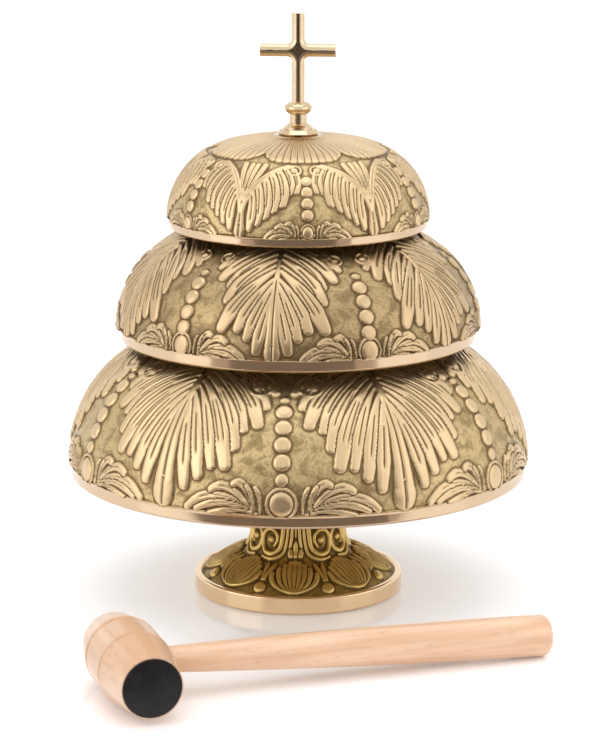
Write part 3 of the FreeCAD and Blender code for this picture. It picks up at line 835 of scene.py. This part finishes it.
def world_light():
    """Even white room, bright enough that the ground runs out to white."""
    world = bpy.data.worlds.new("room")
    bpy.context.scene.world = world
    world.use_nodes = True
    background = world.node_tree.nodes["Background"]
    background.inputs["Color"].default_value = (1.0, 0.99, 0.975, 1.0)
    background.inputs["Strength"].default_value = 1.15


def floor_material():
    s = Shader("white_gloss", Specular_IOR_Level=0.35, Emission_Color=(1.0, 0.99, 1.0, 1.0),
               Emission_Strength=0.10)
    haze = s.noise(3.0, 3.0)
    s.colour(s.mix(haze, (0.96, 0.95, 0.965), (0.94, 0.93, 0.945)))
    s.roughness(s.ramp(haze, 0.3, 0.7, 0.07, 0.12))
    return s.material


def dark_material(name, light):
    """Matt brown; light makes it paler."""
    s = Shader(name, Roughness=0.9, Specular_IOR_Level=0.0)
    low, high = (tuple(light * part for part in tone) for tone in ((0.09, 0.075, 0.065), (0.14, 0.12, 0.11)))
    s.colour(s.mix(s.noise(4.0), low, high))
    return s.material


REACH = 6.0
corners = [(-REACH, -REACH, 0), (REACH, -REACH, 0), (REACH, REACH, 0), (-REACH, REACH, 0)]
floor = stage_sheet("floor", corners)
dress(floor, floor_material())

FAR = -2.6


def fan(name, level, rows):
    """A sheet just over the floor that widens away from the foot; each row is (depth, left, right)."""
    lefts = [(left, depth, level) for depth, left, _ in rows]
    rights = [(right, depth, level) for depth, _, right in rows]
    return stage_sheet(name, lefts + rights[::-1])


# Dark sheets in front of the bell, seen only in reflections: they give the rims, the collar and the cross
# the dark streaks of a room around a white table.
deep = dark_material("deep_room", 0.40)
dark = dark_material("dark_room", 1.9)
dim = dark_material("dim_room", 4.4)
wall = [(-1.2, FAR, 0.0), (1.0, FAR, 0.0), (1.0, FAR, 0.55), (-1.2, FAR, 0.55)]
dark_cards = [
    (fan("dark_table_edge", 0.003, [(-0.26, -0.28, 0.20), (-1.3, -0.98, 0.82), (-1.9, -1.1, 0.92)]), dark),
    (fan("deep_table_end", 0.003, [(-1.9, -1.1, 0.92), (FAR, -1.2, 1.0)]), deep),
    (fan("dim_table_edge", 0.002, [(-0.26, -0.40, 0.32), (-1.3, -1.5, 1.3), (FAR, -1.75, 1.5)]), dim),
    (stage_sheet("dark_wall", wall), deep),
]
for card, tone in dark_cards:
    dress(card, tone)
    card.visible_camera = False
    card.visible_diffuse = False
    card.visible_shadow = False
    card.visible_transmission = False

world_light()
area_light("soft_top", (0.0, 0.1, 1.9), (0.0, 0.0, 0.1), 1.8, 1.6, 9.0, (0.87, 0.95, 1.0))
area_light("soft_left", (-1.7, -0.9, 0.9), (0.0, 0.0, 0.15), 1.6, 1.7, 9.0)
area_light("soft_right", (1.7, -0.7, 0.9), (0.0, 0.0, 0.15), 1.6, 1.7, 5.0)

# In metres and degrees: 13 degrees below the level, from a person's distance.
CAMERA_PLACE = (-0.0012, -1.524, 0.470)
CAMERA_PITCH = 77.0
CAMERA_LENS = 138.96
CAMERA_SENSOR = 36.0
camera_data = bpy.data.cameras.new("camera")
camera_data.sensor_width = CAMERA_SENSOR
camera_data.lens = CAMERA_LENS
camera = bpy.data.objects.new("camera", camera_data)
camera.location = CAMERA_PLACE
camera.rotation_euler = (math.radians(CAMERA_PITCH), 0.0, 0.0)
bpy.context.scene.collection.objects.link(camera)
bpy.context.scene.camera = camera
bpy.context.scene.view_settings.view_transform = "Standard"
